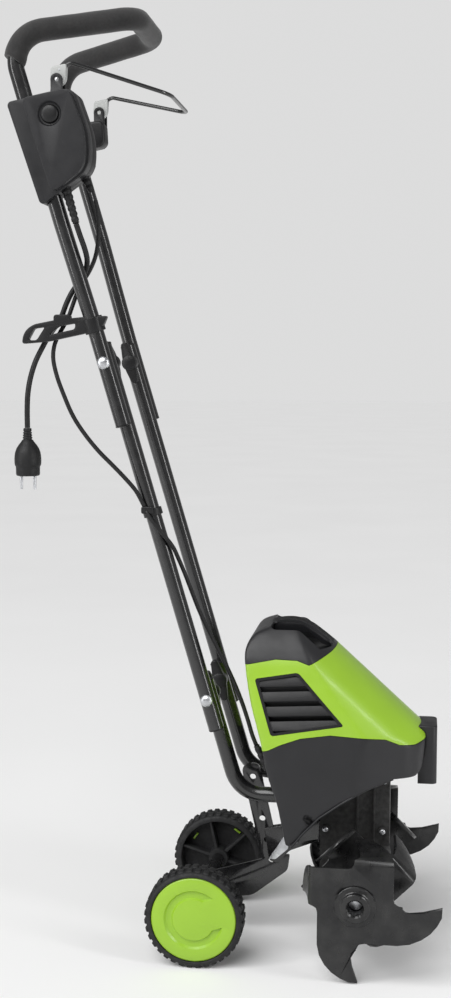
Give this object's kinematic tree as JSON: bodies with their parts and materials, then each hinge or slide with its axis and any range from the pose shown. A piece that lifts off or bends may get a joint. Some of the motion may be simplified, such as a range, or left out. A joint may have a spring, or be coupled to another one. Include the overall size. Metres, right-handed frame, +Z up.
{
  "type": "electric garden tiller",
  "caption": "Electric garden tiller with star-shaped tines under a green hood, a pair of wheels, a folding tube handle with a foam grip, a bail switch and a short mains lead.",
  "frame": {"origin": "on the ground, at the middle of the machine's footprint box, leads left out", "axes": "+X forward, the way the machine is pushed; +Y to the operator's left; +Z up"},
  "size_m": [0.6018, 0.376, 1.3278],
  "materials": {
    "green_plastic": "lime green moulded plastic, fine satin texture",
    "dark_plastic": "dark grey moulded plastic, fine spark texture",
    "black_plastic": "black moulded plastic",
    "grey_plastic": "light grey moulded plastic",
    "black_tube": "gloss black powder coat on steel",
    "grip_foam": "closed-cell foam sleeve",
    "zinc_steel": "zinc-plated steel",
    "tine_steel": "dark grey painted and ground steel",
    "cast_gearbox": "die-cast gearbox alloy, dark grey",
    "motor_winding": "wound copper armature",
    "gear_brass": "bronze worm wheel",
    "wheel_rubber": "black moulded wheel with a lugged tread",
    "cord_rubber": "black rubber sheath"
  },
  "bodies": {
    "chassis": {"hood": "green_plastic", "top_cap": "dark_plastic", "skirt": "dark_plastic", "front_bumper": "dark_plastic", "vent_grille_right": "black_plastic", "vent_grille_left": "black_plastic", "housing_lead_gland": "cord_rubber", "motor_stator": "cast_gearbox", "gearbox_right": "cast_gearbox", "gearbox_left": "cast_gearbox", "shaft_bearing_right": "zinc_steel", "shaft_bearing_left": "zinc_steel", "lower_tube_right": "black_tube", "lower_tube_left": "black_tube", "lower_fold_bolt_right": "zinc_steel", "lower_fold_bolt_left": "zinc_steel", "height_guide": "black_tube", "guide_bolt": "zinc_steel", "motor_lead_lower": "cord_rubber"},
    "middle_handle": {"middle_tube_right": "black_tube", "middle_tube_left": "black_tube", "upper_fold_bolt_right": "zinc_steel", "upper_fold_bolt_left": "zinc_steel", "cable_clip": "black_plastic", "motor_lead_loop": "cord_rubber"},
    "upper_handle": {"upper_handle_tube": "black_tube", "foam_grip": "grip_foam", "switch_box_base": "black_plastic", "switch_box_cover": "dark_plastic", "lock_off_spring": "zinc_steel", "micro_switch": "black_plastic", "bail_housing_left": "black_plastic", "mains_strain_relief": "cord_rubber", "motor_lead_gland": "cord_rubber", "mains_cord": "cord_rubber", "plug": "cord_rubber", "cord_hook": "black_plastic", "motor_lead_upper": "cord_rubber"},
    "bail": {"bail_lever": "black_tube", "bail_clip_right": "grey_plastic", "bail_clip_left": "grey_plastic"},
    "lock_off": {"lock_off_button": "black_plastic"},
    "upper_knob_right": {"upper_fold_knob_right": "black_plastic"},
    "upper_knob_left": {"upper_fold_knob_left": "black_plastic"},
    "lower_knob_right": {"lower_fold_knob_right": "black_plastic"},
    "lower_knob_left": {"lower_fold_knob_left": "black_plastic"},
    "tine_rotor": {"tine_shaft": "zinc_steel", "worm_wheel": "gear_brass", "tine_star_outer_right": "tine_steel", "tine_star_outer_left": "tine_steel", "tine_star_inner_right": "tine_steel", "tine_star_inner_left": "tine_steel"},
    "motor_spindle": {"motor_rotor": "motor_winding", "cooling_fan": "black_plastic"},
    "wheel_carriage": {"wheel_carrier": "black_tube", "wheel_axle": "zinc_steel"},
    "wheel_right_body": {"wheel_right": "wheel_rubber", "wheel_cover_right": "green_plastic"},
    "wheel_left_body": {"wheel_left": "wheel_rubber", "wheel_cover_left": "green_plastic"}
  },
  "joints": [
    {"name": "lower_fold", "type": "hinge", "parent": "chassis", "child": "middle_handle", "pos_m": [-0.02913, 0, 0.37], "axis": [0, -1, 0], "range_deg": [0, 75], "deforming": ["motor_lead_lower"]},
    {"name": "upper_fold", "type": "hinge", "parent": "middle_handle", "child": "upper_handle", "pos_m": [-0.16766, 0, 0.842], "axis": [0, 1, 0], "range_deg": [0, 120], "deforming": ["motor_lead_loop"]},
    {"name": "bail_squeeze", "type": "hinge", "parent": "upper_handle", "child": "bail", "pos_m": [-0.22413, 0, 1.219], "axis": [0, -1, 0], "range_deg": [0, 38], "stiffness_Nm_per_rad": 0.6, "springref_deg": -28.65},
    {"name": "lock_off_press", "type": "slide", "parent": "upper_handle", "child": "lock_off", "axis": [0, 1, 0], "range_m": [0, 0.004], "stiffness_N_per_m": 400, "springref_m": -0.003, "deforming": ["lock_off_spring"]},
    {"name": "tine_spin", "type": "hinge", "parent": "chassis", "child": "tine_rotor", "pos_m": [0.18487, 0, 0.116], "axis": [0, 1, 0], "continuous": true},
    {"name": "motor_spin", "type": "hinge", "parent": "chassis", "child": "motor_spindle", "pos_m": [0.14487, 0, 0.25], "axis": [0, 0, 1], "continuous": true},
    {"name": "wheel_height", "type": "slide", "parent": "chassis", "child": "wheel_carriage", "axis": [0.2204, 0, -0.9754], "range_m": [0, 0.094]},
    {"name": "wheel_spin_right", "type": "hinge", "parent": "wheel_carriage", "child": "wheel_right_body", "pos_m": [-0.04113, -0.125, 0.07], "axis": [0, 1, 0], "continuous": true},
    {"name": "wheel_spin_left", "type": "hinge", "parent": "wheel_carriage", "child": "wheel_left_body", "pos_m": [-0.04113, 0.125, 0.07], "axis": [0, 1, 0], "continuous": true},
    {"name": "upper_knob_turn_right", "type": "hinge", "parent": "middle_handle", "child": "upper_knob_right", "pos_m": [-0.16766, -0.0635, 0.842], "axis": [0, -1, 0], "continuous": true},
    {"name": "upper_knob_turn_left", "type": "hinge", "parent": "middle_handle", "child": "upper_knob_left", "pos_m": [-0.16766, 0.0635, 0.842], "axis": [0, 1, 0], "continuous": true},
    {"name": "lower_knob_turn_right", "type": "hinge", "parent": "chassis", "child": "lower_knob_right", "pos_m": [-0.02913, -0.0399, 0.37], "axis": [0, -1, 0], "continuous": true},
    {"name": "lower_knob_turn_left", "type": "hinge", "parent": "chassis", "child": "lower_knob_left", "pos_m": [-0.02913, 0.0399, 0.37], "axis": [0, 1, 0], "continuous": true}
  ],
  "couplings": [
    {"joint": "motor_spin", "follows": "tine_spin", "ratio": 24}
  ]
}
